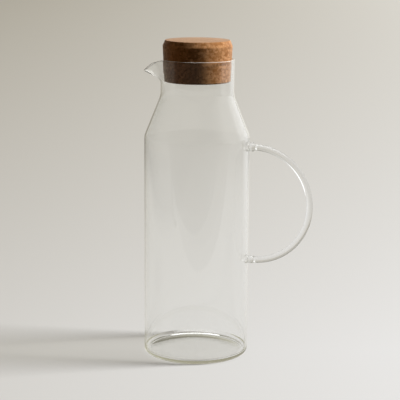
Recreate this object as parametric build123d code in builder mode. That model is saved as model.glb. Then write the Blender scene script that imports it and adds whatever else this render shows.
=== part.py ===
from build123d import *
import os
from math import atan, radians, sqrt, tan

# Handled glass bottle: a blown vessel with a pulled pouring lip, a bent rod handle that is fused
# on with two glass beads, and a tapered cork bung. Millimetres, +Z up. The origin is the centre
# of the base on the vessel's axis. The handle points to +X and the lip to -X.

# Vessel
body_diameter = 85.0
neck_diameter = 58.9
shoulder_height = 179.0  # where the straight wall and the shoulder cone would meet
neck_height = 211.5  # where the shoulder cone and the neck would meet
rim_height = 240.5
wall = 2.0
base_thickness = 2.0
heel_radius = 3.0  # outside, at the foot of the wall
floor_radius = 3.0  # inside, round the floor
shoulder_bend = 10.0  # inside radius of the bend from the wall into the cone
neck_bend = 20.0  # outside radius of the bend from the cone into the neck

# Pouring lip, pulled out of the mouth
lip_width = 35.0  # across its root
lip_reach = 15.8  # its tip beyond the neck's outside
lip_nose = 5.0  # across its tip
lip_wall = 1.8
lip_keel_start = 19.5  # where its keel leaves the neck, below the rim
lip_keel_end = 12.4  # its keel at the tip, below the rim
lip_brow_back = 3.4  # where its edge turns down to the tip, back from the tip
lip_brow_drop = 6.9  # its edge there, below the rim
lip_tip_drop = 11.2  # its edge at the tip, below the rim
lip_brow_radius = 3.5
lip_blend = 4.0  # outside radius where its flanks and keel leave the neck
lip_tip_round = 1.5

# Handle, a solid glass rod bent to a half circle with short straight ends
rod_diameter = 5.2
handle_radius = 46.0  # to the rod's centre line
handle_height = 126.4  # centre of the half circle
handle_centre_out = 5.5  # centre of the half circle, out from the vessel's wall

# Glass beads that fuse the rod's ends to the wall; lengths are out from the wall
bead_waist = 1.5
bead_bulge = 4.2
bead_length = 7.0
upper_foot_diameter = 8.6
upper_waist_diameter = 5.8
upper_bulge_diameter = 7.4
lower_foot_diameter = 8.0
lower_waist_diameter = 5.2
lower_bulge_diameter = 6.4

# Cork bung
cork_length = 33.0
cork_stand = 15.2  # the edge of its top above the rim
cork_crown = 1.0  # the middle of its top above the edge of its top
cork_taper = 2.8  # degrees, from the axis to the side
cork_clearance = 0.10  # to the mouth, where the bung wedges
cork_bevel_width = 2.0
cork_bevel_height = 4.5
cork_foot_round = 1.2

body_radius = body_diameter / 2
neck_outside = neck_diameter / 2
neck_bore = neck_outside - wall
shoulder_turn = atan((body_radius - neck_outside) / (neck_height - shoulder_height))
corner_drop = wall * tan(shoulder_turn / 2)
lip_root = sqrt(neck_outside**2 - (lip_width / 2) ** 2) - wall / 4  # just inside the neck's skin
lip_tip = neck_outside + lip_reach
neck_top = rim_height + 2 * lip_keel_start  # of the blank, before the mouth is cut

handle_centre = body_radius + handle_centre_out
rod_start = body_radius + bead_length
bead_root = body_radius - wall / 2
cork_top = rim_height + cork_stand
cork_foot = cork_top - cork_length
cork_shoulder = cork_top - cork_bevel_height

os.makedirs("parts", exist_ok=True)


def cork_side(height):
    """Radius of the bung's tapered side at a height."""
    return neck_bore - cork_clearance + (height - rim_height) * tan(radians(cork_taper))


def lip_stations(first, last, inset):
    """Upright slices of the lip: distance out, centre height, half width and depth of each."""
    return [lip_slice(first + (last - first) * step / 4, inset) for step in range(5)]


def lip_slice(out, inset):
    share = (out - lip_root) / (lip_tip - lip_root)
    edge = rim_height - lip_brow_drop * share
    keel_slope = (lip_keel_start - lip_keel_end) / lip_reach
    keel = rim_height - lip_keel_start + keel_slope * (out - neck_outside)
    half_width = lip_width / 2 + (lip_nose - lip_width) / 2 * share
    return out, edge, half_width - inset, edge - keel - inset


with BuildPart() as vessel:
    # outside, turned about the axis
    with BuildSketch(Plane.XZ):
        with BuildLine():
            FilletPolyline(
                (0, 0),
                (body_radius, 0),
                (body_radius, shoulder_height),
                (neck_outside, neck_height),
                (neck_outside, neck_top),
                radius=[heel_radius, shoulder_bend + wall, neck_bend],
            )
            Polyline((neck_outside, neck_top), (0, neck_top), (0, 0))
        make_face()
    revolve(axis=Axis.Z)
    # outside of the lip, blended into the neck
    for out, edge, half_width, depth in lip_stations(lip_root, lip_tip, 0):
        with BuildSketch(Plane(origin=(-out, 0, edge), x_dir=(0, 1, 0), z_dir=(-1, 0, 0))):
            Ellipse(half_width, depth)
    loft()
    tip_edges = faces().filter_by(Axis.X).sort_by(Axis.X).first.edges()
    root_edge = edges().filter_by(GeomType.BSPLINE).sort_by(SortBy.LENGTH).last
    fillet(tip_edges, lip_tip_round)
    fillet(root_edge, lip_blend)
    # inside, a wall's thickness in from the outside
    with BuildSketch(Plane.XZ):
        with BuildLine():
            FilletPolyline(
                (0, base_thickness),
                (body_radius - wall, base_thickness),
                (body_radius - wall, shoulder_height - corner_drop),
                (neck_bore, neck_height - corner_drop),
                (neck_bore, neck_top),
                radius=[floor_radius, shoulder_bend, neck_bend + wall],
            )
            Polyline((neck_bore, neck_top), (0, neck_top), (0, base_thickness))
        make_face()
    revolve(axis=Axis.Z, mode=Mode.SUBTRACT)
    # channel of the lip
    for out, edge, half_width, depth in lip_stations(lip_root - wall, lip_tip - lip_wall, lip_wall):
        with BuildSketch(Plane(origin=(-out, 0, edge), x_dir=(0, 1, 0), z_dir=(-1, 0, 0))):
            Ellipse(half_width, depth)
    loft(mode=Mode.SUBTRACT)
    root_edge = edges(Select.LAST).filter_by(GeomType.BSPLINE).sort_by(SortBy.LENGTH).last
    fillet(root_edge, lip_blend + lip_wall)
    # edge of the mouth: level round the neck, then falling along the lip
    with BuildSketch(Plane.XZ):
        with BuildLine():
            FilletPolyline(
                (lip_tip, rim_height),
                (-lip_root, rim_height),
                (-(lip_tip - lip_brow_back), rim_height - lip_brow_drop),
                (-lip_tip, rim_height - lip_tip_drop),
                radius=[neck_bend, lip_brow_radius],
            )
            Polyline(
                (-lip_tip, rim_height - lip_tip_drop),
                (-lip_tip - wall, rim_height - lip_tip_drop),
                (-lip_tip - wall, 2 * neck_top),
                (lip_tip, 2 * neck_top),
                (lip_tip, rim_height),
            )
        make_face()
    extrude(amount=body_diameter, both=True, mode=Mode.SUBTRACT)
vessel.part.label = "glass_vessel"
export_step(vessel.part, "parts/glass_vessel.step")


with BuildPart() as handle_rod:
    with BuildLine(Plane.XZ) as handle_line:
        CenterArc((handle_centre, handle_height), handle_radius, start_angle=90, arc_size=-180)
    with BuildSketch(Plane(origin=handle_line.line @ 0, z_dir=handle_line.line % 0)):
        Circle(rod_diameter / 2)
    sweep()
    # ends where the beads end
    split(bisect_by=Plane.YZ.offset(rod_start), keep=Keep.TOP)
handle_rod.part.label = "handle_rod"
export_step(handle_rod.part, "parts/handle_rod.step")


weld_beads = {
    "upper_weld_bead": (
        handle_height + handle_radius,
        upper_foot_diameter,
        upper_waist_diameter,
        upper_bulge_diameter,
    ),
    "lower_weld_bead": (
        handle_height - handle_radius,
        lower_foot_diameter,
        lower_waist_diameter,
        lower_bulge_diameter,
    ),
}
for bead_name, (bead_height, foot_diameter, waist_diameter, bulge_diameter) in weld_beads.items():
    with BuildPart() as weld_bead:
        # profile from inside the wall to the rod's end, turned about the rod's end line
        with BuildSketch(Plane.XZ.shift_origin((0, 0, bead_height))):
            with BuildLine():
                Spline(
                    (bead_root, foot_diameter / 2),
                    (body_radius + bead_waist, waist_diameter / 2),
                    (body_radius + bead_bulge, bulge_diameter / 2),
                    (rod_start, rod_diameter / 2),
                    tangents=[(1, 0), (1, 0)],
                )
                Polyline(
                    (rod_start, rod_diameter / 2),
                    (rod_start, 0),
                    (bead_root, 0),
                    (bead_root, foot_diameter / 2),
                )
            make_face()
        revolve(axis=Axis((0, 0, bead_height), (1, 0, 0)))
        # seat on the vessel's wall
        with Locations((0, 0, bead_height)):
            Cylinder(body_radius, foot_diameter + bulge_diameter, mode=Mode.SUBTRACT)
    weld_bead.part.label = bead_name
    export_step(weld_bead.part, f"parts/{bead_name}.step")


with BuildPart() as cork_stopper:
    with BuildSketch(Plane.XZ):
        with BuildLine():
            TangentArc(
                (0, cork_top + cork_crown),
                (cork_side(cork_shoulder) - cork_bevel_width, cork_top),
                tangent=(1, 0),
            )
            Polyline(
                (cork_side(cork_shoulder) - cork_bevel_width, cork_top),
                (cork_side(cork_shoulder), cork_shoulder),
                (cork_side(cork_foot), cork_foot),
                (0, cork_foot),
                (0, cork_top + cork_crown),
            )
        make_face()
    revolve(axis=Axis.Z)
    fillet(edges().filter_by(GeomType.CIRCLE).sort_by(Axis.Z).first, cork_foot_round)
cork_stopper.part.label = "cork_stopper"
export_step(cork_stopper.part, "parts/cork_stopper.step")
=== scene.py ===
"""Handled glass bottle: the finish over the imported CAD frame.

A blown vessel with a lip pulled out of its mouth, a bent glass rod for a handle, the two beads
that fuse it on and a cork bung, on a pale table under soft light from the right.
"""

from math import asin, atan2, cos, degrees, exp, hypot, pi, radians, sin, sqrt

import bpy
from mathutils import Matrix, Vector


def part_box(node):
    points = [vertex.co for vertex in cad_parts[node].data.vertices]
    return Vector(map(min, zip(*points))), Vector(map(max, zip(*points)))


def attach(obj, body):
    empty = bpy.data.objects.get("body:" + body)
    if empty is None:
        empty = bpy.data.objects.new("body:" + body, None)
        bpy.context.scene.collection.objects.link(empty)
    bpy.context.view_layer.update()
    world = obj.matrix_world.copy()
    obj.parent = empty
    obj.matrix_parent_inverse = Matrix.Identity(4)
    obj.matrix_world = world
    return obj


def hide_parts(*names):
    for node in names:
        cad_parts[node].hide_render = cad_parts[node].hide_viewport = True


bl_info = {
    "name": "Handled Glass Bottle",
    "version": (1, 0, 0),
    "blender": (4, 5, 0),
    "location": "View3D > Sidebar > Bottle",
    "description": "Blows the vessel, bends the handle, cuts the cork and sets the table",
    "category": "Mesh",
}

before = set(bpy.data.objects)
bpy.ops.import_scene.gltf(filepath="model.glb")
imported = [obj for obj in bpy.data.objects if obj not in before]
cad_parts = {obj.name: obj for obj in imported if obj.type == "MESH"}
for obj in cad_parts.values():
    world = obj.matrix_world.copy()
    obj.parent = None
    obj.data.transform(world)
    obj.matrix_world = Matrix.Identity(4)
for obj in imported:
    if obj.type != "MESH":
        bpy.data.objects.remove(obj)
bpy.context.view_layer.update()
vessel_low, vessel_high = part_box("glass_vessel")
rod_low, rod_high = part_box("handle_rod")
cork_low, cork_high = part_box("cork_stopper")

MM = 0.001
BODY_RADIUS = vessel_high.x
RIM_HEIGHT = vessel_high.z
LIP_TIP = -vessel_low.x
ROD_RADIUS = rod_high.y
HANDLE_TOP = rod_high.z - ROD_RADIUS
HANDLE_FOOT = rod_low.z + ROD_RADIUS
HANDLE_RADIUS = (HANDLE_TOP - HANDLE_FOOT) / 2
HANDLE_OUT = rod_high.x - ROD_RADIUS - HANDLE_RADIUS
SEAM = rod_low.x

# the floor and the underside change height as this power of the distance out
FLOOR_POWER = 5
# shares of the way out at which the underside's profile has a point
UNDER_STEPS = (0, 0.2, 0.35, 0.5, 0.6, 0.68, 0.76, 0.82, 0.88, 0.92, 0.96, 0.99)
# how far out the heel's line starts, and how much of its radius it is rounded to
HEEL_START = 0.99
HEEL_ROUND = 0.97
MERGE_GAP = 0.01 * MM
VESSEL_STEPS = 288
BEND_GAP = 0.5 * MM
BASE_GAP = 1.0 * MM
WALL_GAP = 6.0 * MM
MOUTH_GAP = 0.6 * MM
POLISH_STEPS = 6
POLISH_ANGLE = radians(50)

# the lip's edge falls in a long brow and then in a short beak at its tip
BROW_SHARE = 0.46
BROW_POWER = 1.2
BEAK_SHARE = 0.54
BEAK_DEGREES = 9.0
BEAK_POWER = 1.25
# how its depth shrinks towards its flanks, and how softly it leaves the neck
FLANK_POWER = 0.6
LIP_SOFTNESS = 0.18

ROD_SIDES = 40
ROD_STEPS = 120
BEAD_STEPS = 48
# a bead's foot is bent to the round wall this far out, and lies this far inside the radius
FOOT_REACH = 0.3 * MM
SEAT_DEPTH = 0.1 * MM
# faces that are fused are this near to the joint and this upright
FUSE_REACH = 0.3 * MM
FUSE_UPRIGHT = 0.9

CORK_STEPS = 260
CORK_GAP = 0.55 * MM
CORK_BEND_GAP = 0.3 * MM
# round its foot, its widest place and the edge of its top
CORK_ROUNDS = (1.2 * MM, 0.8 * MM, 0.6 * MM)
CROWN_STEPS = (0.9, 0.75, 0.5, 0.25, 0)
CORK_DENTS = (("granules", "VORONOI", 2.0 * MM, 0.04 * MM), ("pores", "CLOUDS", 0.6 * MM, 0.10 * MM))

# a ray mirrored more often than this is caught between the walls
CAUGHT_DEPTH = 2.5


# Sizes and colours that a user would change


def length(name, about, metres):
    """A length in metres, shown in the scene's unit."""
    return bpy.props.FloatProperty(
        name=name, description=about, default=metres, unit="LENGTH", precision=4
    )


def number(name, about, value):
    """A plain number."""
    return bpy.props.FloatProperty(name=name, description=about, default=value)


def angle(name, about, turn):
    """An angle in radians, shown in the scene's unit."""
    return bpy.props.FloatProperty(name=name, description=about, default=turn, subtype="ANGLE")


def paint(name, about, colour):
    """A colour swatch, linear."""
    return bpy.props.FloatVectorProperty(
        name=name, description=about, default=colour, subtype="COLOR", size=3, min=0.0, max=1.0
    )


class BottleGlass(bpy.types.PropertyGroup):
    """Sizes and tone of the glass"""

    wall: length("Wall", "Thickness of the blown wall and of the base's middle", 0.9 * MM)
    inset: length("Floor inset", "How far in from the outside the floor's round corner ends", 2.0 * MM)
    neck: length("Neck radius", "Outside radius of the neck", 29.45 * MM)
    shoulder: length("Shoulder height", "Where wall and shoulder cone would meet", 179.0 * MM)
    collar: length("Neck height", "Where shoulder cone and neck would meet", 211.5 * MM)
    shoulder_bend: length("Shoulder bend", "Outside radius of the bend at the shoulder", 12.0 * MM)
    neck_bend: length("Neck bend", "Outside radius of the bend into the neck", 20.0 * MM)
    heel: length("Heel", "Outside radius at the foot of the wall", 3.0 * MM)
    bowl: length("Bowl", "How far the floor rises towards the wall", 0.9 * MM)
    hollow: length("Hollow", "Inside radius round the floor", 1.4 * MM)
    kick: length("Kick-up", "How far the middle of the underside is pushed up", 1.0 * MM)
    lip_nose: length("Lip nose", "Radius of the lip's tip, seen from above", 2.2 * MM)
    lip_depth: length("Lip depth", "Where the lip's keel leaves the neck, below the rim", 21.5 * MM)
    lip_drop: length("Lip drop", "How far the lip's tip lies below the rim", 11.3 * MM)
    tint: paint("Tint", "What the glass lets through at each surface", (0.997, 1.0, 0.996))
    long_way: paint("Long way", "What is left at each wall after many turns inside", (0.87, 0.865, 0.80))
    # painted glow: how much pale matt surface is mixed into the glass at the rim
    glow: number("Glow", "How much light comes out at the rim", 0.7)
    waver: number("Waver", "Strength of the streaks up the wall", 0.12)


class BottleCork(bpy.types.PropertyGroup):
    """Sizes and tones of the cork bung"""

    bevel_width: length("Bevel width", "Width of the bevel round the top", 2.0 * MM)
    bevel_height: length("Bevel height", "Height of the bevel round the top", 4.5 * MM)
    crown: length("Crown", "How far the middle of the top stands up", 1.0 * MM)
    taper: angle("Taper", "From the axis to the side", radians(2.8))
    # partly painted sheen: the top's colour is paler and greyer than the grain
    face: paint("Sanded face", "The top, sanded flat", (0.50, 0.315, 0.198))
    pale: paint("Pale grain", "The lightest granules", (0.66, 0.35, 0.165))
    deep: paint("Deep grain", "The darkest granules", (0.35, 0.145, 0.043))
    seam: paint("Seam", "Pores and the dark binder between the granules", (0.15, 0.06, 0.02))


class BottleStage(bpy.types.PropertyGroup):
    """Table, light and camera"""

    # painted light falloff: the table's colour runs from near, under the bottle, to a darker far behind
    near: paint("Near table", "Table under the bottle", (0.765, 0.766, 0.762))
    far: paint("Far table", "Table far behind", (0.532, 0.509, 0.445))
    turn: angle("Turn", "How far the handle is turned towards the camera", radians(18))


# Modelling helpers


def deselect():
    """Leaves no object selected."""
    for each in bpy.context.selected_objects:
        each.select_set(False)


def profile_line(name, points):
    """A new object at the origin whose edges run through points of (radius, height)."""
    deselect()
    bpy.ops.mesh.primitive_plane_add(size=MM, location=(0, 0, 0))
    line = bpy.context.object
    line.name = name
    line.data.name = name
    bpy.ops.object.mode_set(mode="EDIT")
    bpy.ops.mesh.merge(type="CENTER")
    here = Vector((points[0][0], 0, points[0][1]))
    bpy.ops.transform.translate(value=here)
    for out, height in points[1:]:
        there = Vector((out, 0, height))
        bpy.ops.mesh.extrude_region_move(TRANSFORM_OT_translate={"value": there - here})
        here = there
    return line


def spin_round(line, steps):
    """Turns the line being edited once round the Z axis and closes its seam and poles."""
    bpy.ops.mesh.select_all(action="SELECT")
    bpy.ops.mesh.spin(steps=steps, angle=2 * pi, center=(0, 0, 0), axis=(0, 0, 1))
    bpy.ops.mesh.select_all(action="SELECT")
    bpy.ops.mesh.remove_doubles(threshold=MERGE_GAP)
    bpy.ops.mesh.normals_make_consistent(inside=False)
    bpy.ops.object.mode_set(mode="OBJECT")


def finish_piece(piece, body, nodes, material):
    """Smooth shading, its body, the nodes that it stands for and its material."""
    deselect()
    piece.select_set(True)
    bpy.context.view_layer.objects.active = piece
    bpy.ops.object.shade_smooth()
    piece.data.materials.clear()
    piece.data.materials.append(material)
    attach(piece, body)
    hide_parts(*nodes)


def fuse_ends(piece, *distances):
    """Gives the upright faces at distances out from the axis the fused material."""
    piece.data.materials.append(bpy.data.materials["fused_joint"])
    for face in piece.data.polygons:
        near = any(abs(face.center.x - distance) < FUSE_REACH for distance in distances)
        if near and abs(face.normal.x) > FUSE_UPRIGHT:
            face.material_index = 1
            face.use_smooth = False


def apply_modifiers(piece):
    """Applies the piece's modifiers in order."""
    deselect()
    piece.select_set(True)
    bpy.context.view_layer.objects.active = piece
    for modifier in list(piece.modifiers):
        bpy.ops.object.modifier_apply(modifier=modifier.name)


def rounded(corners, radii, step):
    """Points along a line through corners, with each inner corner rounded to its radius."""
    points = [Vector(corners[0])]
    for before, corner, after, radius in zip(corners, corners[1:], corners[2:], radii):
        corner = Vector(corner)
        back = (Vector(before) - corner).normalized()
        ahead = (Vector(after) - corner).normalized()
        half = back.angle(ahead) / 2
        centre = corner + (back + ahead).normalized() * radius / sin(half)
        first = corner + back * radius / (sin(half) / cos(half))
        last = corner + ahead * radius / (sin(half) / cos(half))
        sweep = pi - 2 * half
        count = max(3, round(radius * sweep / step))
        start = first - centre
        side = 1 if start.cross(last - centre) > 0 else -1
        for index in range(count + 1):
            turn = Matrix.Rotation(side * sweep * index / count, 2)
            points.append(centre + turn @ start)
    points.append(Vector(corners[-1]))
    return points


def spaced(points, step):
    """The same line, its long gaps divided into parts of about a step."""
    line = [points[0]]
    for there in points[1:]:
        here = line[-1]
        count = max(1, round((there - here).length / step))
        line += [here.lerp(there, (index + 1) / count) for index in range(count)]
    return line


# Materials


def new_material(name):
    """A named material with an empty node tree, with its nodes and its links."""
    material = bpy.data.materials.new(name)
    material.use_nodes = True
    nodes = material.node_tree.nodes
    nodes.clear()
    return material, nodes, material.node_tree.links


def add_node(nodes, kind, fixed=None, **settings):
    """A node of a kind, with its settings and the inputs that are fixed."""
    node = nodes.new(kind)
    for key, value in settings.items():
        setattr(node, key, value)
    for socket, value in (fixed or {}).items():
        node.inputs[socket].default_value = value
    return node


def clear_glass(name, tint, long_way, waver):
    """Smooth, faintly green glass which lets lamps through; its waver runs up the wall, as drawn."""
    material, nodes, links = new_material(name)
    place = add_node(nodes, "ShaderNodeTexCoord")
    drawn = add_node(nodes, "ShaderNodeMapping", {"Scale": (1.0, 1.0, 0.05)})
    streaks = add_node(nodes, "ShaderNodeTexNoise", {"Scale": 110.0, "Detail": 1.0})
    bump = add_node(nodes, "ShaderNodeBump", {"Strength": waver, "Distance": 0.4 * MM})
    glass = add_node(
        nodes,
        "ShaderNodeBsdfPrincipled",
        {"Base Color": (*tint, 1), "Roughness": 0.0, "IOR": 1.47, "Transmission Weight": 1.0},
    )
    # what a lamp's ray keeps at each surface: nearly all face on, little at a glancing angle
    edge = add_node(nodes, "ShaderNodeLayerWeight", {"Blend": 0.5})
    steep = add_node(nodes, "ShaderNodeMath", {1: 4.0}, operation="POWER")
    kept = add_node(
        nodes,
        "ShaderNodeMix",
        {"A": (0.955, 0.953, 0.945, 1), "B": (0.30, 0.29, 0.27, 1)},
        data_type="RGBA",
    )
    # and all of it where the surface is level, as on the base
    facing = add_node(nodes, "ShaderNodeNewGeometry")
    tilt = add_node(nodes, "ShaderNodeSeparateXYZ")
    level = add_node(nodes, "ShaderNodeMath", operation="ABSOLUTE")
    flat = add_node(nodes, "ShaderNodeMapRange", {"From Min": 0.8, "From Max": 0.95})
    whole = add_node(nodes, "ShaderNodeMix", {"B": (1, 1, 1, 1)}, data_type="RGBA")
    through = add_node(nodes, "ShaderNodeBsdfTransparent")
    path = add_node(nodes, "ShaderNodeLightPath")
    lit = add_node(nodes, "ShaderNodeMath", operation="MAXIMUM")
    # a ray caught between the walls goes straight on, toned by its long way through the glass
    deep = add_node(nodes, "ShaderNodeMath", {1: CAUGHT_DEPTH}, operation="GREATER_THAN")
    caught = add_node(nodes, "ShaderNodeMix", {"B": (*long_way, 1)}, data_type="RGBA")
    passed = add_node(nodes, "ShaderNodeMath", operation="MAXIMUM")
    shadow = add_node(nodes, "ShaderNodeMixShader")
    out = add_node(nodes, "ShaderNodeOutputMaterial")
    if waver > 0:
        links.new(place.outputs["Object"], drawn.inputs["Vector"])
        links.new(drawn.outputs[0], streaks.inputs["Vector"])
        links.new(streaks.outputs["Fac"], bump.inputs["Height"])
        links.new(bump.outputs["Normal"], glass.inputs["Normal"])
    links.new(edge.outputs["Facing"], steep.inputs[0])
    links.new(steep.outputs[0], kept.inputs["Factor"])
    links.new(facing.outputs["Normal"], tilt.inputs[0])
    links.new(tilt.outputs["Z"], level.inputs[0])
    links.new(level.outputs[0], flat.inputs["Value"])
    links.new(flat.outputs[0], whole.inputs["Factor"])
    links.new(kept.outputs["Result"], whole.inputs["A"])
    links.new(path.outputs["Glossy Depth"], deep.inputs[0])
    links.new(deep.outputs[0], caught.inputs["Factor"])
    links.new(whole.outputs["Result"], caught.inputs["A"])
    links.new(caught.outputs["Result"], through.inputs["Color"])
    links.new(path.outputs["Is Shadow Ray"], lit.inputs[0])
    links.new(path.outputs["Is Diffuse Ray"], lit.inputs[1])
    links.new(lit.outputs[0], passed.inputs[0])
    links.new(deep.outputs[0], passed.inputs[1])
    links.new(passed.outputs[0], shadow.inputs[0])
    links.new(glass.outputs[0], shadow.inputs[1])
    links.new(through.outputs[0], shadow.inputs[2])
    links.new(shadow.outputs[0], out.inputs["Surface"])
    return material


def painted_glow_rim(blown, glow):
    """The glass of the wall with a painted glow: a pale matt surface mixed in stands in for light that
    runs up the wall and comes out at its rounded edge.
    """
    material = blown.copy()
    material.name = "rim_glass_painted_glow"
    nodes, links = material.node_tree.nodes, material.node_tree.links
    out = next(node for node in nodes if node.bl_idname == "ShaderNodeOutputMaterial")
    glass = out.inputs["Surface"].links[0].from_socket
    # painted glow: a pale matt surface mixed into the glass and lit by the lamps
    pale = add_node(nodes, "ShaderNodeBsdfDiffuse", {"Color": (0.92, 0.92, 0.88, 1)})
    rim = add_node(nodes, "ShaderNodeMixShader", {0: glow})
    links.new(glass, rim.inputs[1])
    links.new(pale.outputs[0], rim.inputs[2])
    links.new(rim.outputs[0], out.inputs["Surface"])
    return material


def fused_glass():
    """Where two pieces of glass are melted together: nothing to see."""
    material, nodes, links = new_material("fused_joint")
    clear = add_node(nodes, "ShaderNodeBsdfTransparent")
    out = add_node(nodes, "ShaderNodeOutputMaterial")
    links.new(clear.outputs[0], out.inputs["Surface"])
    return material


def pressed_cork(face, pale, deep, seam):
    """Cork of pressed granules: warm browns turned smooth, its sanded top paler and greyer, partly a
    painted sheen, with pores.
    """
    material, nodes, links = new_material("pressed_cork")
    place = add_node(nodes, "ShaderNodeTexCoord")
    drift = add_node(nodes, "ShaderNodeTexNoise", {"Scale": 260.0, "Detail": 2.0})
    shaken = add_node(nodes, "ShaderNodeMix", {"Factor": 0.0035}, data_type="VECTOR")
    # granules, each with its own tone
    granule = add_node(
        nodes, "ShaderNodeTexVoronoi", {"Scale": 480.0, "Smoothness": 0.25}, feature="SMOOTH_F1"
    )
    tone = add_node(nodes, "ShaderNodeSeparateColor")
    # turning marks run round the side
    turned = add_node(nodes, "ShaderNodeMapping", {"Scale": (1.0, 1.0, 7.0)})
    marks = add_node(nodes, "ShaderNodeTexNoise", {"Scale": 70.0, "Detail": 3.0})
    blend = add_node(nodes, "ShaderNodeMix", {"Factor": 0.55}, data_type="FLOAT")
    spread = add_node(nodes, "ShaderNodeMapRange", {"From Min": 0.25, "From Max": 0.75})
    grain = add_node(nodes, "ShaderNodeMix", {"A": (*deep, 1), "B": (*pale, 1)}, data_type="RGBA")
    # the sanded top is paler and greyer: its own colour with a painted sheen
    facing = add_node(nodes, "ShaderNodeNewGeometry")
    tilt = add_node(nodes, "ShaderNodeSeparateXYZ")
    sanded = add_node(nodes, "ShaderNodeMapRange", {"From Min": 0.75, "From Max": 0.97, "To Max": 0.85})
    ends = add_node(nodes, "ShaderNodeMix", {"B": (*face, 1)}, data_type="RGBA")
    # pores and dark seams
    border = add_node(nodes, "ShaderNodeTexVoronoi", {"Scale": 480.0}, feature="DISTANCE_TO_EDGE")
    gap = add_node(nodes, "ShaderNodeMapRange", {"From Max": 0.05, "To Min": 0.55})
    fine = add_node(nodes, "ShaderNodeTexNoise", {"Scale": 1500.0, "Detail": 3.0})
    speck = add_node(nodes, "ShaderNodeMapRange", {"From Min": 0.28, "From Max": 0.40, "To Min": 0.35})
    height = add_node(nodes, "ShaderNodeMath", operation="MULTIPLY")
    specks = add_node(nodes, "ShaderNodeMix", {"A": (*seam, 1)}, data_type="RGBA")
    bump = add_node(nodes, "ShaderNodeBump", {"Strength": 0.35, "Distance": 0.2 * MM})
    cork = add_node(nodes, "ShaderNodeBsdfPrincipled", {"Roughness": 0.45, "Specular IOR Level": 0.22})
    out = add_node(nodes, "ShaderNodeOutputMaterial")
    links.new(place.outputs["Object"], drift.inputs["Vector"])
    links.new(place.outputs["Object"], shaken.inputs[4])
    links.new(drift.outputs["Color"], shaken.inputs[5])
    links.new(shaken.outputs[1], granule.inputs["Vector"])
    links.new(shaken.outputs[1], border.inputs["Vector"])
    links.new(granule.outputs["Color"], tone.inputs[0])
    links.new(place.outputs["Object"], turned.inputs["Vector"])
    links.new(turned.outputs[0], marks.inputs["Vector"])
    links.new(tone.outputs[0], blend.inputs["A"])
    links.new(marks.outputs["Fac"], blend.inputs["B"])
    links.new(blend.outputs[0], spread.inputs["Value"])
    links.new(spread.outputs[0], grain.inputs["Factor"])
    links.new(facing.outputs["Normal"], tilt.inputs[0])
    links.new(tilt.outputs["Z"], sanded.inputs["Value"])
    links.new(sanded.outputs[0], ends.inputs["Factor"])
    links.new(grain.outputs["Result"], ends.inputs["A"])
    links.new(border.outputs["Distance"], gap.inputs["Value"])
    links.new(place.outputs["Object"], fine.inputs["Vector"])
    links.new(fine.outputs["Fac"], speck.inputs["Value"])
    links.new(gap.outputs[0], height.inputs[0])
    links.new(speck.outputs[0], height.inputs[1])
    links.new(height.outputs[0], specks.inputs["Factor"])
    links.new(ends.outputs["Result"], specks.inputs["B"])
    links.new(height.outputs[0], bump.inputs["Height"])
    links.new(bump.outputs["Normal"], cork.inputs["Normal"])
    links.new(specks.outputs["Result"], cork.inputs["Base Color"])
    links.new(cork.outputs[0], out.inputs["Surface"])
    return material


# Pieces


def pull_lip(skin, glass):
    """Pulls the mouth out to a pouring lip over the -X side, its wall sliding along with it."""
    nose_centre = LIP_TIP - glass.lip_nose
    lean = asin((glass.neck - glass.lip_nose) / nose_centre)
    touch = pi / 2 - lean
    nose_run = glass.lip_nose * touch
    flank_run = nose_centre * cos(lean)
    for vertex in skin.data.vertices:
        x, y, z = vertex.co
        away = abs(atan2(y, -x))
        if z < RIM_HEIGHT - glass.lip_depth or away >= touch:
            continue
        share = away / touch
        # where this place of the rim goes, along the rounded nose and then the straight flank
        along = share * (nose_run + flank_run)
        if along < nose_run:
            bend = along / glass.lip_nose
            edge = Vector((nose_centre + glass.lip_nose * cos(bend), glass.lip_nose * sin(bend)))
        else:
            rest = along - nose_run
            edge = Vector((nose_centre, 0)) + glass.lip_nose * Vector((cos(touch), sin(touch)))
            edge += rest * Vector((-cos(lean), sin(lean)))
        turn = degrees(atan2(edge.y, edge.x))
        brow = glass.lip_drop * BROW_SHARE * (1 - share) ** BROW_POWER
        beak = glass.lip_drop * BEAK_SHARE * exp(-((turn / BEAK_DEGREES) ** BEAK_POWER))
        drop = brow + beak
        depth = glass.lip_depth * (1 - share**2) ** FLANK_POWER
        rise = (z - (RIM_HEIGHT - depth)) / depth if depth > 0 else 0
        if rise <= 0:
            continue
        soft = LIP_SOFTNESS
        ease = (sqrt(rise**2 + soft**2) - soft) / (sqrt(1 + soft**2) - soft)
        start = Vector((-x, abs(y)))
        spot = start.lerp(edge, ease)
        side = 1 if y >= 0 else -1
        vertex.co = (-spot.x, side * spot.y, z - drop * ease)


def dish_floor(skin, glass, outside):
    """Shapes the floor inside: level in the middle, then rising to a rounded corner at the wall."""
    inside = BODY_RADIUS - glass.inset
    slope = atan2(FLOOR_POWER * glass.bowl, inside)
    floor = glass.kick + glass.wall
    middle = Vector((inside - glass.hollow, 0))
    foot = middle.x + glass.hollow * sin(slope)
    middle.y = floor + glass.bowl * (foot / inside) ** FLOOR_POWER + glass.hollow * cos(slope)
    for vertex in skin.data.vertices[outside:]:
        x, y, z = vertex.co
        out = hypot(x, y)
        if z > middle.y:
            continue
        if out < foot:
            vertex.co.z = floor + glass.bowl * (out / inside) ** FLOOR_POWER
            continue
        spot = middle + (Vector((out, z)) - middle).normalized() * glass.hollow
        around = atan2(y, x)
        vertex.co = (spot.x * cos(around), spot.x * sin(around), spot.y)


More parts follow.
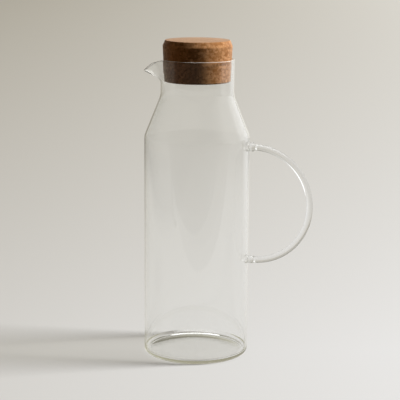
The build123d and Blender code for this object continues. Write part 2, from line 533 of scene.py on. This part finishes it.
class BOTTLE_OT_vessel(bpy.types.Operator):
    """Blow the vessel and pull its lip"""

    bl_idname = "bottle.vessel"
    bl_label = "Blow Vessel"

    def execute(self, context):
        glass = context.scene.bottle_glass
        ring = BODY_RADIUS - glass.heel
        corner = glass.kick + glass.wall + glass.bowl + glass.hollow
        under = [Vector((ring * out, glass.kick * (1 - out**FLOOR_POWER))) for out in UNDER_STEPS]
        heel = rounded(
            [(ring * HEEL_START, 0), (BODY_RADIUS, 0), (BODY_RADIUS, corner)],
            [glass.heel * HEEL_ROUND],
            BEND_GAP,
        )
        low = under + heel[1:]
        high = rounded(
            [
                (BODY_RADIUS, corner),
                (BODY_RADIUS, glass.shoulder),
                (glass.neck, glass.collar),
                (glass.neck, RIM_HEIGHT - glass.lip_depth),
            ],
            [glass.shoulder_bend, glass.neck_bend],
            BEND_GAP,
        )
        mouth = [high[-1], Vector((glass.neck, RIM_HEIGHT))]
        rows = spaced(low, BASE_GAP) + spaced(high, WALL_GAP)[1:] + spaced(mouth, MOUTH_GAP)[1:]
        skin = profile_line("glass_vessel_blown", rows)
        spin_round(skin, VESSEL_STEPS)
        pull_lip(skin, glass)
        outside = len(skin.data.vertices)
        wall = skin.modifiers.new("Wall", "SOLIDIFY")
        wall.thickness = glass.wall
        wall.offset = -1
        wall.use_even_offset = True
        apply_modifiers(skin)
        dish_floor(skin, glass, outside)
        blown, rim = bpy.data.materials["clear_blown_glass"], bpy.data.materials["rim_glass_painted_glow"]
        skin.data.materials.append(blown)
        skin.data.materials.append(rim)
        # the rounded faces take the rim material with its painted glow
        polish = skin.modifiers.new("Fire polish", "BEVEL")
        polish.material = 1
        # more than there is room for, so that the two roundings meet
        polish.width = glass.wall
        polish.segments = POLISH_STEPS
        polish.limit_method = "ANGLE"
        polish.angle_limit = POLISH_ANGLE
        apply_modifiers(skin)
        # only the faces round the rim keep the painted glow
        brim = RIM_HEIGHT - glass.lip_depth
        faces = skin.data.polygons
        edge = [face.index for face in faces if face.material_index == 1 and face.center.z > brim]
        finish_piece(skin, "vessel", ["glass_vessel"], blown)
        skin.data.materials.append(rim)
        for index in edge:
            skin.data.polygons[index].material_index = 1
        return {"FINISHED"}


class BOTTLE_OT_handle(bpy.types.Operator):
    """Bend the glass rod to the handle"""

    bl_idname = "bottle.handle"
    bl_label = "Bend Handle"

    def execute(self, context):
        deselect()
        bpy.ops.mesh.primitive_circle_add(
            vertices=ROD_SIDES, radius=ROD_RADIUS, fill_type="NOTHING", location=(0, 0, 0)
        )
        rod = bpy.context.object
        rod.name = "handle_rod_bent"
        bpy.ops.object.mode_set(mode="EDIT")
        bpy.ops.transform.rotate(value=pi / 2, orient_axis="Y", center_override=(0, 0, 0))
        bpy.ops.transform.translate(value=(HANDLE_OUT, 0, HANDLE_TOP))
        middle = (HANDLE_OUT, 0, (HANDLE_TOP + HANDLE_FOOT) / 2)
        bpy.ops.mesh.spin(steps=ROD_STEPS, angle=-pi, center=middle, axis=(0, 1, 0))
        bpy.ops.mesh.select_all(action="SELECT")
        bpy.ops.mesh.bisect(plane_co=(SEAM, 0, 0), plane_no=(1, 0, 0), clear_inner=True, use_fill=True)
        bpy.ops.mesh.select_all(action="SELECT")
        bpy.ops.mesh.normals_make_consistent(inside=False)
        bpy.ops.object.mode_set(mode="OBJECT")
        finish_piece(rod, "vessel", ["handle_rod"], bpy.data.materials["clear_rod_glass"])
        fuse_ends(rod, SEAM)
        return {"FINISHED"}


class BOTTLE_OT_beads(bpy.types.Operator):
    """Melt the two beads that fuse the rod to the wall"""

    bl_idname = "bottle.beads"
    bl_label = "Melt Beads"

    def execute(self, context):
        # height on the wall, then the diameters of foot, waist and bulge
        beads = {
            "upper": (HANDLE_TOP, 8.6 * MM, 5.8 * MM, 7.4 * MM),
            "lower": (HANDLE_FOOT, 8.0 * MM, 5.2 * MM, 6.4 * MM),
        }
        for name, (height, foot, waist, bulge) in beads.items():
            # along the bead: radius at each distance from the wall
            shape = [
                (0.0, foot / 2),
                (0.6 * MM, foot / 2 * 0.86),
                (1.5 * MM, waist / 2),
                (2.6 * MM, (waist + bulge) / 4),
                (3.6 * MM, bulge / 2 * 0.97),
                (4.3 * MM, bulge / 2),
                (5.2 * MM, bulge / 2 * 0.93),
                (6.2 * MM, ROD_RADIUS * 1.08),
                (SEAM - BODY_RADIUS, ROD_RADIUS),
            ]
            line = profile_line(f"{name}_bead_melted", [(0, 0)] + [(r, d) for d, r in shape])
            # close its end
            bpy.ops.mesh.extrude_region_move(TRANSFORM_OT_translate={"value": (-ROD_RADIUS, 0, 0)})
            spin_round(line, BEAD_STEPS)
            bpy.ops.object.mode_set(mode="EDIT")
            bpy.ops.mesh.select_all(action="SELECT")
            bpy.ops.transform.rotate(value=pi / 2, orient_axis="Y", center_override=(0, 0, 0))
            bpy.ops.object.mode_set(mode="OBJECT")
            low = min(vertex.co.x for vertex in line.data.vertices)
            turned = low < -1 * MM
            for vertex in line.data.vertices:
                across = vertex.co.copy()
                reach = -across.x if turned else across.x
                seat = BODY_RADIUS
                if reach < FOOT_REACH:
                    seat = sqrt(max(0.0, BODY_RADIUS**2 - across.y**2))
                vertex.co = (seat + reach, across.y, height + across.z)
            bpy.ops.object.mode_set(mode="EDIT")
            bpy.ops.mesh.select_all(action="SELECT")
            bpy.ops.mesh.normals_make_consistent(inside=False)
            bpy.ops.object.mode_set(mode="OBJECT")
            smooth = line.modifiers.new("Melt", "SUBSURF")
            smooth.levels = 1
            smooth.render_levels = 1
            apply_modifiers(line)
            node = f"{name}_weld_bead"
            finish_piece(line, "vessel", [node], bpy.data.materials["clear_rod_glass"])
            fuse_ends(line, SEAM, BODY_RADIUS - SEAT_DEPTH)
        return {"FINISHED"}


class BOTTLE_OT_cork(bpy.types.Operator):
    """Cut the cork bung and open its pores"""

    bl_idname = "bottle.cork"
    bl_label = "Cut Cork"

    def execute(self, context):
        cork = context.scene.bottle_cork
        foot, top = cork_low.z, cork_high.z - cork.crown
        shoulder = top - cork.bevel_height
        brow = cork_high.x
        edge = brow - cork.bevel_width
        taper = sin(cork.taper) / cos(cork.taper)
        crown = [Vector((edge * out, cork_high.z - cork.crown * out**2)) for out in CROWN_STEPS]
        outline = rounded(
            [
                (0, foot),
                (brow - (shoulder - foot) * taper, foot),
                (brow, shoulder),
                (edge, top),
                crown[0],
            ],
            CORK_ROUNDS,
            CORK_BEND_GAP,
        )
        bung = profile_line("cork_stopper_cut", spaced(outline + crown[1:], CORK_GAP))
        spin_round(bung, CORK_STEPS)
        for name, kind, size, depth in CORK_DENTS:
            texture = bpy.data.textures.new(name, kind)
            texture.noise_scale = size
            push = bung.modifiers.new(name, "DISPLACE")
            push.texture = texture
            push.texture_coords = "LOCAL"
            push.mid_level = 1.0
            push.strength = depth
        apply_modifiers(bung)
        finish_piece(bung, "stopper", ["cork_stopper"], bpy.data.materials["pressed_cork"])
        return {"FINISHED"}


class BOTTLE_OT_materials(bpy.types.Operator):
    """Mix the glass and the cork"""

    bl_idname = "bottle.materials"
    bl_label = "Mix Materials"

    def execute(self, context):
        glass = context.scene.bottle_glass
        blown = clear_glass("clear_blown_glass", glass.tint, glass.long_way, glass.waver)
        painted_glow_rim(blown, glass.glow)
        clear_glass("clear_rod_glass", glass.tint, glass.long_way, 0)
        fused_glass()
        cork = context.scene.bottle_cork
        pressed_cork(cork.face, cork.pale, cork.deep, cork.seam)
        return {"FINISHED"}


# Stage

# the camera that sees the outline as the photo does
CAMERA_DISTANCE = 1.04598
CAMERA_HEIGHT = 0.33985
CAMERA_PITCH = radians(11.549)
CAMERA_YAW = radians(0.151)
CAMERA_ROLL = radians(0.414)
FOCAL_PIXELS = 1314.286
PICTURE_PIXELS = 400
SENSOR_WIDTH = 36
VIEW_END = 200

TABLE_SIZE = 60
TABLE_GAP = 0.0001
# what the table throws back on things, and how the painted light in its colour grows to the right
TABLE_BOUNCE = (0.05, 0.035, 0.015)
PAINTED_RIGHT_GAIN = (1.90, 1.99, 2.22)
RIGHT_RANGE = (-1.0, 0.38)
# in reflections: dark past its front edge, in a ring around and on the left, and a bright wedge
EDGE_SLANT = 0.285
EDGE_CORNER = 0.55
DUSK_STEPS = ((0.330, 0.0), (0.342, 0.50), (0.430, 0.50), (0.445, 0.62), (1.0, 0.85))
RING_REACH = 2.0
RING_STEPS = ((0.11, 0.0), (0.25, 0.3), (0.55, 0.3), (0.90, 0.0))
LEFT_SLANT = -0.35
LEFT_STEPS = ((0.48, 0.0), (0.66, 0.9))
LEFT_END = (0.22, 0.30)
GLEAM = (1.12, 1.12, 1.11)
GLEAM_PLACE = (0.72, 0.69, 0.0)
GLEAM_SPREAD = radians(19)
GLEAM_REACH = (0.05, 0.9)
# a ray that has passed fewer surfaces than this is mirrored by the near wall
FRONT_DEPTH = 2.5

# the room that the glass mirrors and bends, and what it gives to the table
ROOM_DARK = (0.025, 0.022, 0.018)
ROOM_LEFT = (0.40, 0.385, 0.345)
ROOM_AHEAD = (0.52, 0.50, 0.45)
ROOM_RIGHT = (0.90, 0.90, 0.88)
ROOM_BRIGHT = (1.4, 1.4, 1.4)
BRIGHT_PLACE = (0.76, 0.63, 0.20)
BRIGHT_SPREAD = radians(26)
ROOM_CEILING = (4.0, 4.0, 3.9)
ROOM_GLOOM = (0.20, 0.19, 0.15)
GLOOM_SLANT = 0.6
ROOM_FILL = (0.017, 0.0125, 0.007)
# where the room turns dark behind the camera, where it is gloomy aloft and where its ceiling is
BEHIND_RANGE = (-0.70, -0.15)
GLOOM_RANGE = (0.40, 0.70)
CEILING_RANGE = (0.80, 0.95)

# a window on the right, and a faint warm light from the left
WINDOW_HEIGHT = radians(36)
WINDOW_BEHIND = radians(2)
WINDOW_SPREAD = radians(9)
WINDOW_POWER = 5.0
WINDOW_COLOUR = (1.0, 0.985, 0.96)
FILL_TOWARDS = (-1, 0, 0.07)
FILL_POWER = 0.18
FILL_COLOUR = (1.0, 0.55, 0.15)


def smooth_range(nodes, low, high):
    """Turns low to high into 0 to 1, softly at both ends."""
    span = {"From Min": low, "From Max": high}
    return add_node(nodes, "ShaderNodeMapRange", span, interpolation_type="SMOOTHSTEP")


def shade_ramp(nodes, steps):
    """A ramp from light, 0, to dark, 1, through (place, shade) steps."""
    node = add_node(nodes, "ShaderNodeValToRGB")
    first, last = node.color_ramp.elements
    for element, (place, shade) in ((first, steps[0]), (last, steps[-1])):
        element.position = place
        element.color = (shade, shade, shade, 1)
    for place, shade in steps[1:-1]:
        node.color_ramp.elements.new(place).color = (shade, shade, shade, 1)
    return node


def table_material(near, far):
    """Matt pale table with painted light: its colour is lighter to the front and the right; dark and
    bright places in reflections.
    """
    material, nodes, links = new_material("pale_table")
    place = add_node(nodes, "ShaderNodeTexCoord")
    part = add_node(nodes, "ShaderNodeSeparateXYZ")
    # painted light falloff: the colour is lighter near the front and darker far behind
    distance = add_node(nodes, "ShaderNodeMath", {1: CAMERA_DISTANCE}, operation="ADD")
    inverse = add_node(nodes, "ShaderNodeMath", {0: CAMERA_DISTANCE}, operation="DIVIDE")
    painted_falloff = add_node(nodes, "ShaderNodeMapRange")
    tone = add_node(nodes, "ShaderNodeMix", {"A": (*far, 1), "B": (*near, 1)}, data_type="RGBA")
    # painted light: the colour doubles over a camera distance to the right, less so far away
    root = add_node(nodes, "ShaderNodeMath", operation="SQRT")
    across = add_node(nodes, "ShaderNodeMath", {1: CAMERA_DISTANCE}, operation="DIVIDE")
    lean = add_node(nodes, "ShaderNodeMath", operation="MULTIPLY")
    held = add_node(nodes, "ShaderNodeClamp", {"Min": RIGHT_RANGE[0], "Max": RIGHT_RANGE[1]})
    painted_right_light = add_node(nodes, "ShaderNodeGamma", {"Color": (*PAINTED_RIGHT_GAIN, 1)})
    lit = add_node(nodes, "ShaderNodeMix", {"Factor": 1.0}, data_type="RGBA", blend_type="MULTIPLY")
    matt = add_node(nodes, "ShaderNodeBsdfDiffuse")
    room = add_node(nodes, "ShaderNodeEmission", {"Color": (*ROOM_DARK, 1)})
    path = add_node(nodes, "ShaderNodeLightPath")
    # in reflections it is dark past its front edge, which slants back on the left
    right = add_node(nodes, "ShaderNodeMath", {1: 0.0}, operation="MINIMUM")
    left = add_node(nodes, "ShaderNodeMath", {1: -EDGE_CORNER}, operation="MAXIMUM")
    slant = add_node(nodes, "ShaderNodeMath", {1: EDGE_SLANT}, operation="MULTIPLY")
    nearer = add_node(nodes, "ShaderNodeMath", operation="SUBTRACT")
    dusk = shade_ramp(nodes, DUSK_STEPS)
    # and in a ring around
    spread = add_node(nodes, "ShaderNodeVectorMath", operation="DOT_PRODUCT")
    shrunk = add_node(nodes, "ShaderNodeMath", {1: 1 / RING_REACH**2}, operation="MULTIPLY")
    ring = shade_ramp(nodes, RING_STEPS)
    darker = add_node(nodes, "ShaderNodeMath", operation="MAXIMUM")
    mirrored = add_node(nodes, "ShaderNodeMath", {1: 0.5}, operation="GREATER_THAN")
    both = add_node(nodes, "ShaderNodeMath", operation="MULTIPLY")
    shader = add_node(nodes, "ShaderNodeMixShader")
    # in the near wall it is dark on the left, and bright in a wedge past the bottle on the right
    front = add_node(nodes, "ShaderNodeMath", {1: FRONT_DEPTH}, operation="LESS_THAN")
    seen = add_node(nodes, "ShaderNodeMath", operation="MULTIPLY")
    slope = add_node(nodes, "ShaderNodeMath", {1: LEFT_SLANT}, operation="MULTIPLY")
    beyond = add_node(nodes, "ShaderNodeMath", operation="SUBTRACT")
    end = shade_ramp(nodes, LEFT_STEPS)
    limit = add_node(
        nodes,
        "ShaderNodeMapRange",
        {"From Min": LEFT_END[0], "From Max": LEFT_END[1], "To Min": 1.0, "To Max": 0.0},
    )
    held_back = add_node(nodes, "ShaderNodeMath", operation="MULTIPLY")
    shade = add_node(nodes, "ShaderNodeMath", operation="MULTIPLY")
    shaded = add_node(nodes, "ShaderNodeMixShader")
    heading = add_node(nodes, "ShaderNodeVectorMath", operation="NORMALIZE")
    facing = add_node(nodes, "ShaderNodeVectorMath", {1: GLEAM_PLACE}, operation="DOT_PRODUCT")
    width = smooth_range(nodes, cos(GLEAM_SPREAD), 1.0)
    away = add_node(nodes, "ShaderNodeVectorMath", operation="LENGTH")
    depth = add_node(
        nodes, "ShaderNodeMapRange", {"From Min": GLEAM_REACH[0], "From Max": GLEAM_REACH[1]}
    )
    wedge = add_node(nodes, "ShaderNodeMath", operation="MULTIPLY")
    bright = add_node(nodes, "ShaderNodeMath", operation="MULTIPLY")
    gleam = add_node(nodes, "ShaderNodeEmission", {"Color": (*GLEAM, 1)})
    brighter = add_node(nodes, "ShaderNodeMixShader")
    dull = add_node(nodes, "ShaderNodeBsdfDiffuse", {"Color": (*TABLE_BOUNCE, 1)})
    light = add_node(nodes, "ShaderNodeMixShader")
    out = add_node(nodes, "ShaderNodeOutputMaterial")
    links.new(place.outputs["Object"], part.inputs[0])
    links.new(part.outputs["Y"], distance.inputs[0])
    links.new(distance.outputs[0], inverse.inputs[1])
    links.new(inverse.outputs[0], painted_falloff.inputs["Value"])
    links.new(painted_falloff.outputs[0], tone.inputs["Factor"])
    links.new(painted_falloff.outputs[0], root.inputs[0])
    links.new(part.outputs["X"], across.inputs[0])
    links.new(across.outputs[0], lean.inputs[0])
    links.new(root.outputs[0], lean.inputs[1])
    links.new(lean.outputs[0], held.inputs["Value"])
    links.new(held.outputs[0], painted_right_light.inputs["Gamma"])
    links.new(tone.outputs["Result"], lit.inputs["A"])
    links.new(painted_right_light.outputs[0], lit.inputs["B"])
    links.new(lit.outputs["Result"], matt.inputs["Color"])
    links.new(part.outputs["X"], right.inputs[0])
    links.new(right.outputs[0], left.inputs[0])
    links.new(left.outputs[0], slant.inputs[0])
    links.new(slant.outputs[0], nearer.inputs[0])
    links.new(part.outputs["Y"], nearer.inputs[1])
    links.new(nearer.outputs[0], dusk.inputs[0])
    links.new(place.outputs["Object"], spread.inputs[0])
    links.new(place.outputs["Object"], spread.inputs[1])
    links.new(spread.outputs["Value"], shrunk.inputs[0])
    links.new(shrunk.outputs[0], ring.inputs[0])
    links.new(dusk.outputs[0], darker.inputs[0])
    links.new(ring.outputs[0], darker.inputs[1])
    links.new(path.outputs["Glossy Depth"], mirrored.inputs[0])
    links.new(darker.outputs[0], both.inputs[0])
    links.new(mirrored.outputs[0], both.inputs[1])
    links.new(both.outputs[0], shader.inputs[0])
    links.new(matt.outputs[0], shader.inputs[1])
    links.new(room.outputs[0], shader.inputs[2])
    links.new(path.outputs["Is Diffuse Ray"], light.inputs[0])
    links.new(path.outputs["Transmission Depth"], front.inputs[0])
    links.new(front.outputs[0], seen.inputs[0])
    links.new(mirrored.outputs[0], seen.inputs[1])
    links.new(part.outputs["Y"], slope.inputs[0])
    links.new(slope.outputs[0], beyond.inputs[0])
    links.new(part.outputs["X"], beyond.inputs[1])
    links.new(beyond.outputs[0], end.inputs[0])
    links.new(shrunk.outputs[0], limit.inputs["Value"])
    links.new(end.outputs[0], held_back.inputs[0])
    links.new(limit.outputs[0], held_back.inputs[1])
    links.new(held_back.outputs[0], shade.inputs[0])
    links.new(seen.outputs[0], shade.inputs[1])
    links.new(shade.outputs[0], shaded.inputs[0])
    links.new(shader.outputs[0], shaded.inputs[1])
    links.new(room.outputs[0], shaded.inputs[2])
    links.new(place.outputs["Object"], heading.inputs[0])
    links.new(heading.outputs[0], facing.inputs[0])
    links.new(facing.outputs["Value"], width.inputs["Value"])
    links.new(place.outputs["Object"], away.inputs[0])
    links.new(away.outputs["Value"], depth.inputs["Value"])
    links.new(width.outputs[0], wedge.inputs[0])
    links.new(depth.outputs[0], wedge.inputs[1])
    links.new(wedge.outputs[0], bright.inputs[0])
    links.new(seen.outputs[0], bright.inputs[1])
    links.new(bright.outputs[0], brighter.inputs[0])
    links.new(shaded.outputs[0], brighter.inputs[1])
    links.new(gleam.outputs[0], brighter.inputs[2])
    links.new(brighter.outputs[0], light.inputs[1])
    links.new(dull.outputs[0], light.inputs[2])
    links.new(light.outputs[0], out.inputs["Surface"])
    return material


def room_world(far, turn):
    """Pale to the camera, dim for light, and to the glass a room that is bright on its right."""
    world = bpy.data.worlds.new("room")
    world.use_nodes = True
    nodes, links = world.node_tree.nodes, world.node_tree.links
    nodes.clear()
    place = add_node(nodes, "ShaderNodeTexCoord")
    ahead = add_node(nodes, "ShaderNodeVectorRotate", {"Angle": -turn}, rotation_type="Z_AXIS")
    part = add_node(nodes, "ShaderNodeSeparateXYZ")
    # dark on the left, pale ahead, bright on the right
    side = add_node(nodes, "ShaderNodeMapRange", {"From Min": -1.0, "From Max": 1.0})
    walls = add_node(nodes, "ShaderNodeValToRGB")
    ramp = walls.color_ramp
    ramp.elements[0].color = (*ROOM_LEFT, 1)
    ramp.elements[1].color = (*ROOM_RIGHT, 1)
    ramp.elements.new(0.5).color = (*ROOM_AHEAD, 1)
    # the room is dark behind the camera
    depth = smooth_range(nodes, *BEHIND_RANGE)
    room = add_node(nodes, "ShaderNodeMix", {"A": (*ROOM_DARK, 1)}, data_type="RGBA")
    # above on the left it is dark, and in the glass's gloss bright overhead
    upper = add_node(nodes, "ShaderNodeMath", {1: -GLOOM_SLANT}, operation="MULTIPLY_ADD")
    aloft = smooth_range(nodes, *GLOOM_RANGE)
    gloom = add_node(nodes, "ShaderNodeMix", {"B": (*ROOM_GLOOM, 1)}, data_type="RGBA")
    above = smooth_range(nodes, *CEILING_RANGE)
    first = add_node(nodes, "ShaderNodeMath", {1: 1.0, 2: 0.5}, operation="COMPARE")
    shine = add_node(nodes, "ShaderNodeMath", operation="MULTIPLY")
    ceiling = add_node(nodes, "ShaderNodeMix", {"B": (*ROOM_CEILING, 1)}, data_type="RGBA")
    towards = add_node(nodes, "ShaderNodeVectorMath", {1: BRIGHT_PLACE}, operation="DOT_PRODUCT")
    pane = smooth_range(nodes, cos(BRIGHT_SPREAD), cos(BRIGHT_SPREAD / 3))
    flare = add_node(nodes, "ShaderNodeMath", operation="MULTIPLY")
    glow = add_node(nodes, "ShaderNodeMix", {"B": (*ROOM_BRIGHT, 1)}, data_type="RGBA")
    mirrored = add_node(nodes, "ShaderNodeBackground")
    seen = add_node(nodes, "ShaderNodeBackground", {"Color": (*far, 1)})
    dim = add_node(nodes, "ShaderNodeBackground", {"Color": (*ROOM_FILL, 1)})
    path = add_node(nodes, "ShaderNodeLightPath")
    glassy = add_node(nodes, "ShaderNodeMath", operation="MAXIMUM")
    light = add_node(nodes, "ShaderNodeMixShader")
    view = add_node(nodes, "ShaderNodeMixShader")
    out = add_node(nodes, "ShaderNodeOutputWorld")
    links.new(place.outputs["Generated"], ahead.inputs["Vector"])
    links.new(ahead.outputs[0], part.inputs[0])
    links.new(part.outputs["X"], side.inputs["Value"])
    links.new(side.outputs[0], walls.inputs[0])
    links.new(part.outputs["Y"], depth.inputs["Value"])
    links.new(depth.outputs[0], room.inputs["Factor"])
    links.new(walls.outputs[0], room.inputs["B"])
    links.new(ahead.outputs[0], towards.inputs[0])
    links.new(towards.outputs["Value"], pane.inputs["Value"])
    links.new(pane.outputs[0], flare.inputs[0])
    links.new(path.outputs["Is Glossy Ray"], flare.inputs[1])
    links.new(flare.outputs[0], glow.inputs["Factor"])
    links.new(part.outputs["X"], upper.inputs[0])
    links.new(part.outputs["Z"], upper.inputs[2])
    links.new(upper.outputs[0], aloft.inputs["Value"])
    links.new(aloft.outputs[0], gloom.inputs["Factor"])
    links.new(room.outputs["Result"], gloom.inputs["A"])
    links.new(part.outputs["Z"], above.inputs["Value"])
    links.new(above.outputs[0], shine.inputs[0])
    links.new(path.outputs["Glossy Depth"], first.inputs[0])
    links.new(first.outputs[0], shine.inputs[1])
    links.new(shine.outputs[0], ceiling.inputs["Factor"])
    links.new(gloom.outputs["Result"], ceiling.inputs["A"])
    links.new(ceiling.outputs["Result"], glow.inputs["A"])
    links.new(glow.outputs["Result"], mirrored.inputs["Color"])
    links.new(path.outputs["Is Glossy Ray"], glassy.inputs[0])
    links.new(path.outputs["Is Transmission Ray"], glassy.inputs[1])
    links.new(glassy.outputs[0], light.inputs[0])
    links.new(dim.outputs[0], light.inputs[1])
    links.new(mirrored.outputs[0], light.inputs[2])
    links.new(path.outputs["Is Camera Ray"], view.inputs[0])
    links.new(light.outputs[0], view.inputs[1])
    links.new(seen.outputs[0], view.inputs[2])
    links.new(view.outputs[0], out.inputs["Surface"])
    return world


class BOTTLE_OT_stage(bpy.types.Operator):
    """Set the table, the light and the camera"""

    bl_idname = "bottle.stage"
    bl_label = "Set Stage"

    def execute(self, context):
        stage = context.scene.bottle_stage
        around = Matrix.Rotation(stage.turn, 4, "Z")
        deselect()
        bpy.ops.mesh.primitive_plane_add(size=TABLE_SIZE, location=(0, 0, -TABLE_GAP))
        table = context.object
        table.name = "table"
        table.rotation_euler = (0, 0, stage.turn)
        table.data.materials.append(table_material(stage.near, stage.far))

        level = cos(WINDOW_HEIGHT)
        window = Vector((level * cos(WINDOW_BEHIND), level * sin(WINDOW_BEHIND), sin(WINDOW_HEIGHT)))
        lamps = (
            ("window_light", window, WINDOW_POWER, WINDOW_COLOUR),
            ("fill_light", Vector(FILL_TOWARDS), FILL_POWER, FILL_COLOUR),
        )
        for name, towards, power, colour in lamps:
            bpy.ops.object.light_add(type="SUN", location=(0, 0, 1))
            lamp = context.object
            lamp.name = name
            lamp.data.energy = power
            lamp.data.color = colour
            lamp.data.angle = 2 * WINDOW_SPREAD
            lamp.visible_glossy = False
            lamp.visible_transmission = False
            lamp.rotation_mode = "QUATERNION"
            lamp.rotation_quaternion = (around.to_3x3() @ towards).to_track_quat("Z", "Y")

        context.scene.world = room_world(stage.far, stage.turn)

        bpy.ops.object.camera_add(location=around @ Vector((0, -CAMERA_DISTANCE, CAMERA_HEIGHT)))
        camera = context.object
        camera.name = "camera"
        look = Matrix.Rotation(stage.turn - CAMERA_YAW, 3, "Z")
        look = look @ Matrix.Rotation(pi / 2 - CAMERA_PITCH, 3, "X")
        look = look @ Matrix.Rotation(CAMERA_ROLL, 3, "Z")
        camera.rotation_euler = look.to_euler()
        camera.data.sensor_width = SENSOR_WIDTH
        camera.data.lens = camera.data.sensor_width * FOCAL_PIXELS / PICTURE_PIXELS
        camera.data.clip_end = VIEW_END
        context.scene.camera = camera
        context.scene.view_settings.view_transform = "Standard"
        return {"FINISHED"}


class BOTTLE_PT_sidebar(bpy.types.Panel):
    """The steps of the bottle, in order"""

    bl_label = "Handled Glass Bottle"
    bl_idname = "BOTTLE_PT_sidebar"
    bl_space_type = "VIEW_3D"
    bl_region_type = "UI"
    bl_category = "Bottle"

    def draw(self, context):
        for step in STEPS:
            self.layout.operator(step.bl_idname)
        for group in (context.scene.bottle_glass, context.scene.bottle_cork, context.scene.bottle_stage):
            box = self.layout.box()
            for name in group.__annotations__:
                box.prop(group, name)


GROUPS = {"bottle_glass": BottleGlass, "bottle_cork": BottleCork, "bottle_stage": BottleStage}
STEPS = (
    BOTTLE_OT_materials,
    BOTTLE_OT_vessel,
    BOTTLE_OT_handle,
    BOTTLE_OT_beads,
    BOTTLE_OT_cork,
    BOTTLE_OT_stage,
)


def register():
    for name, group in GROUPS.items():
        bpy.utils.register_class(group)
        setattr(bpy.types.Scene, name, bpy.props.PointerProperty(type=group))
    for each in STEPS + (BOTTLE_PT_sidebar,):
        bpy.utils.register_class(each)


def unregister():
    for each in reversed(STEPS + (BOTTLE_PT_sidebar,)):
        bpy.utils.unregister_class(each)
    for name, group in GROUPS.items():
        delattr(bpy.types.Scene, name)
        bpy.utils.unregister_class(group)


def main():
    register()
    bpy.ops.bottle.materials()
    bpy.ops.bottle.vessel()
    bpy.ops.bottle.handle()
    bpy.ops.bottle.beads()
    bpy.ops.bottle.cork()
    bpy.ops.bottle.stage()


if __name__ == "__main__":
    main()
